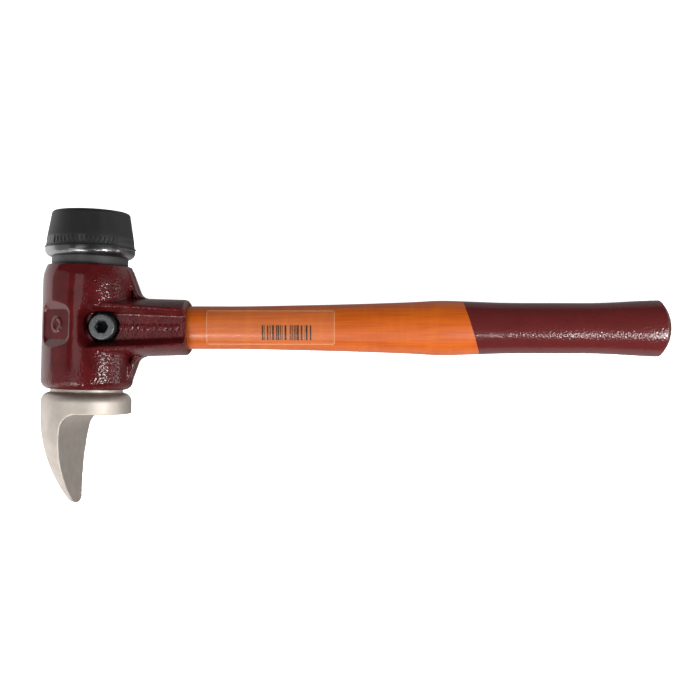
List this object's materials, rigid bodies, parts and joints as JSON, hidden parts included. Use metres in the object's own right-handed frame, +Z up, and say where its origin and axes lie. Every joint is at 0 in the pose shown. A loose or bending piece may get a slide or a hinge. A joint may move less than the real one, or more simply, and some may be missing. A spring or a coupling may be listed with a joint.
{
  "type": "soft-faced hammer",
  "caption": "Clamped-head hammer with a rubber striking face, a steel claw insert and an oval wooden handle, for sounding and probing.",
  "frame": {"origin": "middle of the underside of the whole hammer as it lies on its side", "axes": "+X along the handle towards the butt, +Y along the head towards the rubber face, +Z up, the way the screw's head faces"},
  "size_m": [0.3263, 0.1512, 0.0468],
  "materials": {
    "cast_housing": "gloss maroon enamel over a rough casting",
    "screw_steel": "phosphated steel, slightly oily",
    "black_rubber": "satin moulded rubber",
    "claw_steel": "blasted stainless steel",
    "lacquered_wood": "clear orange lacquer, dark red dipped grip",
    "label_film": "clear film"
  },
  "bodies": {
    "back_half": {"housing_back_half": "cast_housing", "clamp_nut": "screw_steel", "handle": "lacquered_wood", "handle_label": "label_film"},
    "front_half": {"housing_front_half": "cast_housing", "lock_washer": "screw_steel"},
    "screw": {"clamp_screw": "screw_steel"},
    "rubber": {"rubber_insert": "black_rubber"},
    "claw": {"claw_insert": "claw_steel"}
  },
  "joints": [
    {"name": "clamp_open", "type": "slide", "parent": "back_half", "child": "front_half", "axis": [0, 0, 1], "range_m": [0, 0.0025]},
    {"name": "screw_turn", "type": "hinge", "parent": "front_half", "child": "screw", "pos_m": [-0.12875, 0.01592, 0.04242], "axis": [0, 0, 1], "range_deg": [0, 720]},
    {"name": "rubber_pull", "type": "slide", "parent": "back_half", "child": "rubber", "axis": [0, 1, 0], "range_m": [0, 0.02]},
    {"name": "claw_turn", "type": "hinge", "parent": "back_half", "child": "claw", "pos_m": [-0.13975, -0.01806, 0.02341], "axis": [0, 1, 0], "continuous": true}
  ],
  "couplings": [
    {"joint": "screw_turn", "follows": "clamp_open", "rad_per_m": 5026.5}
  ]
}
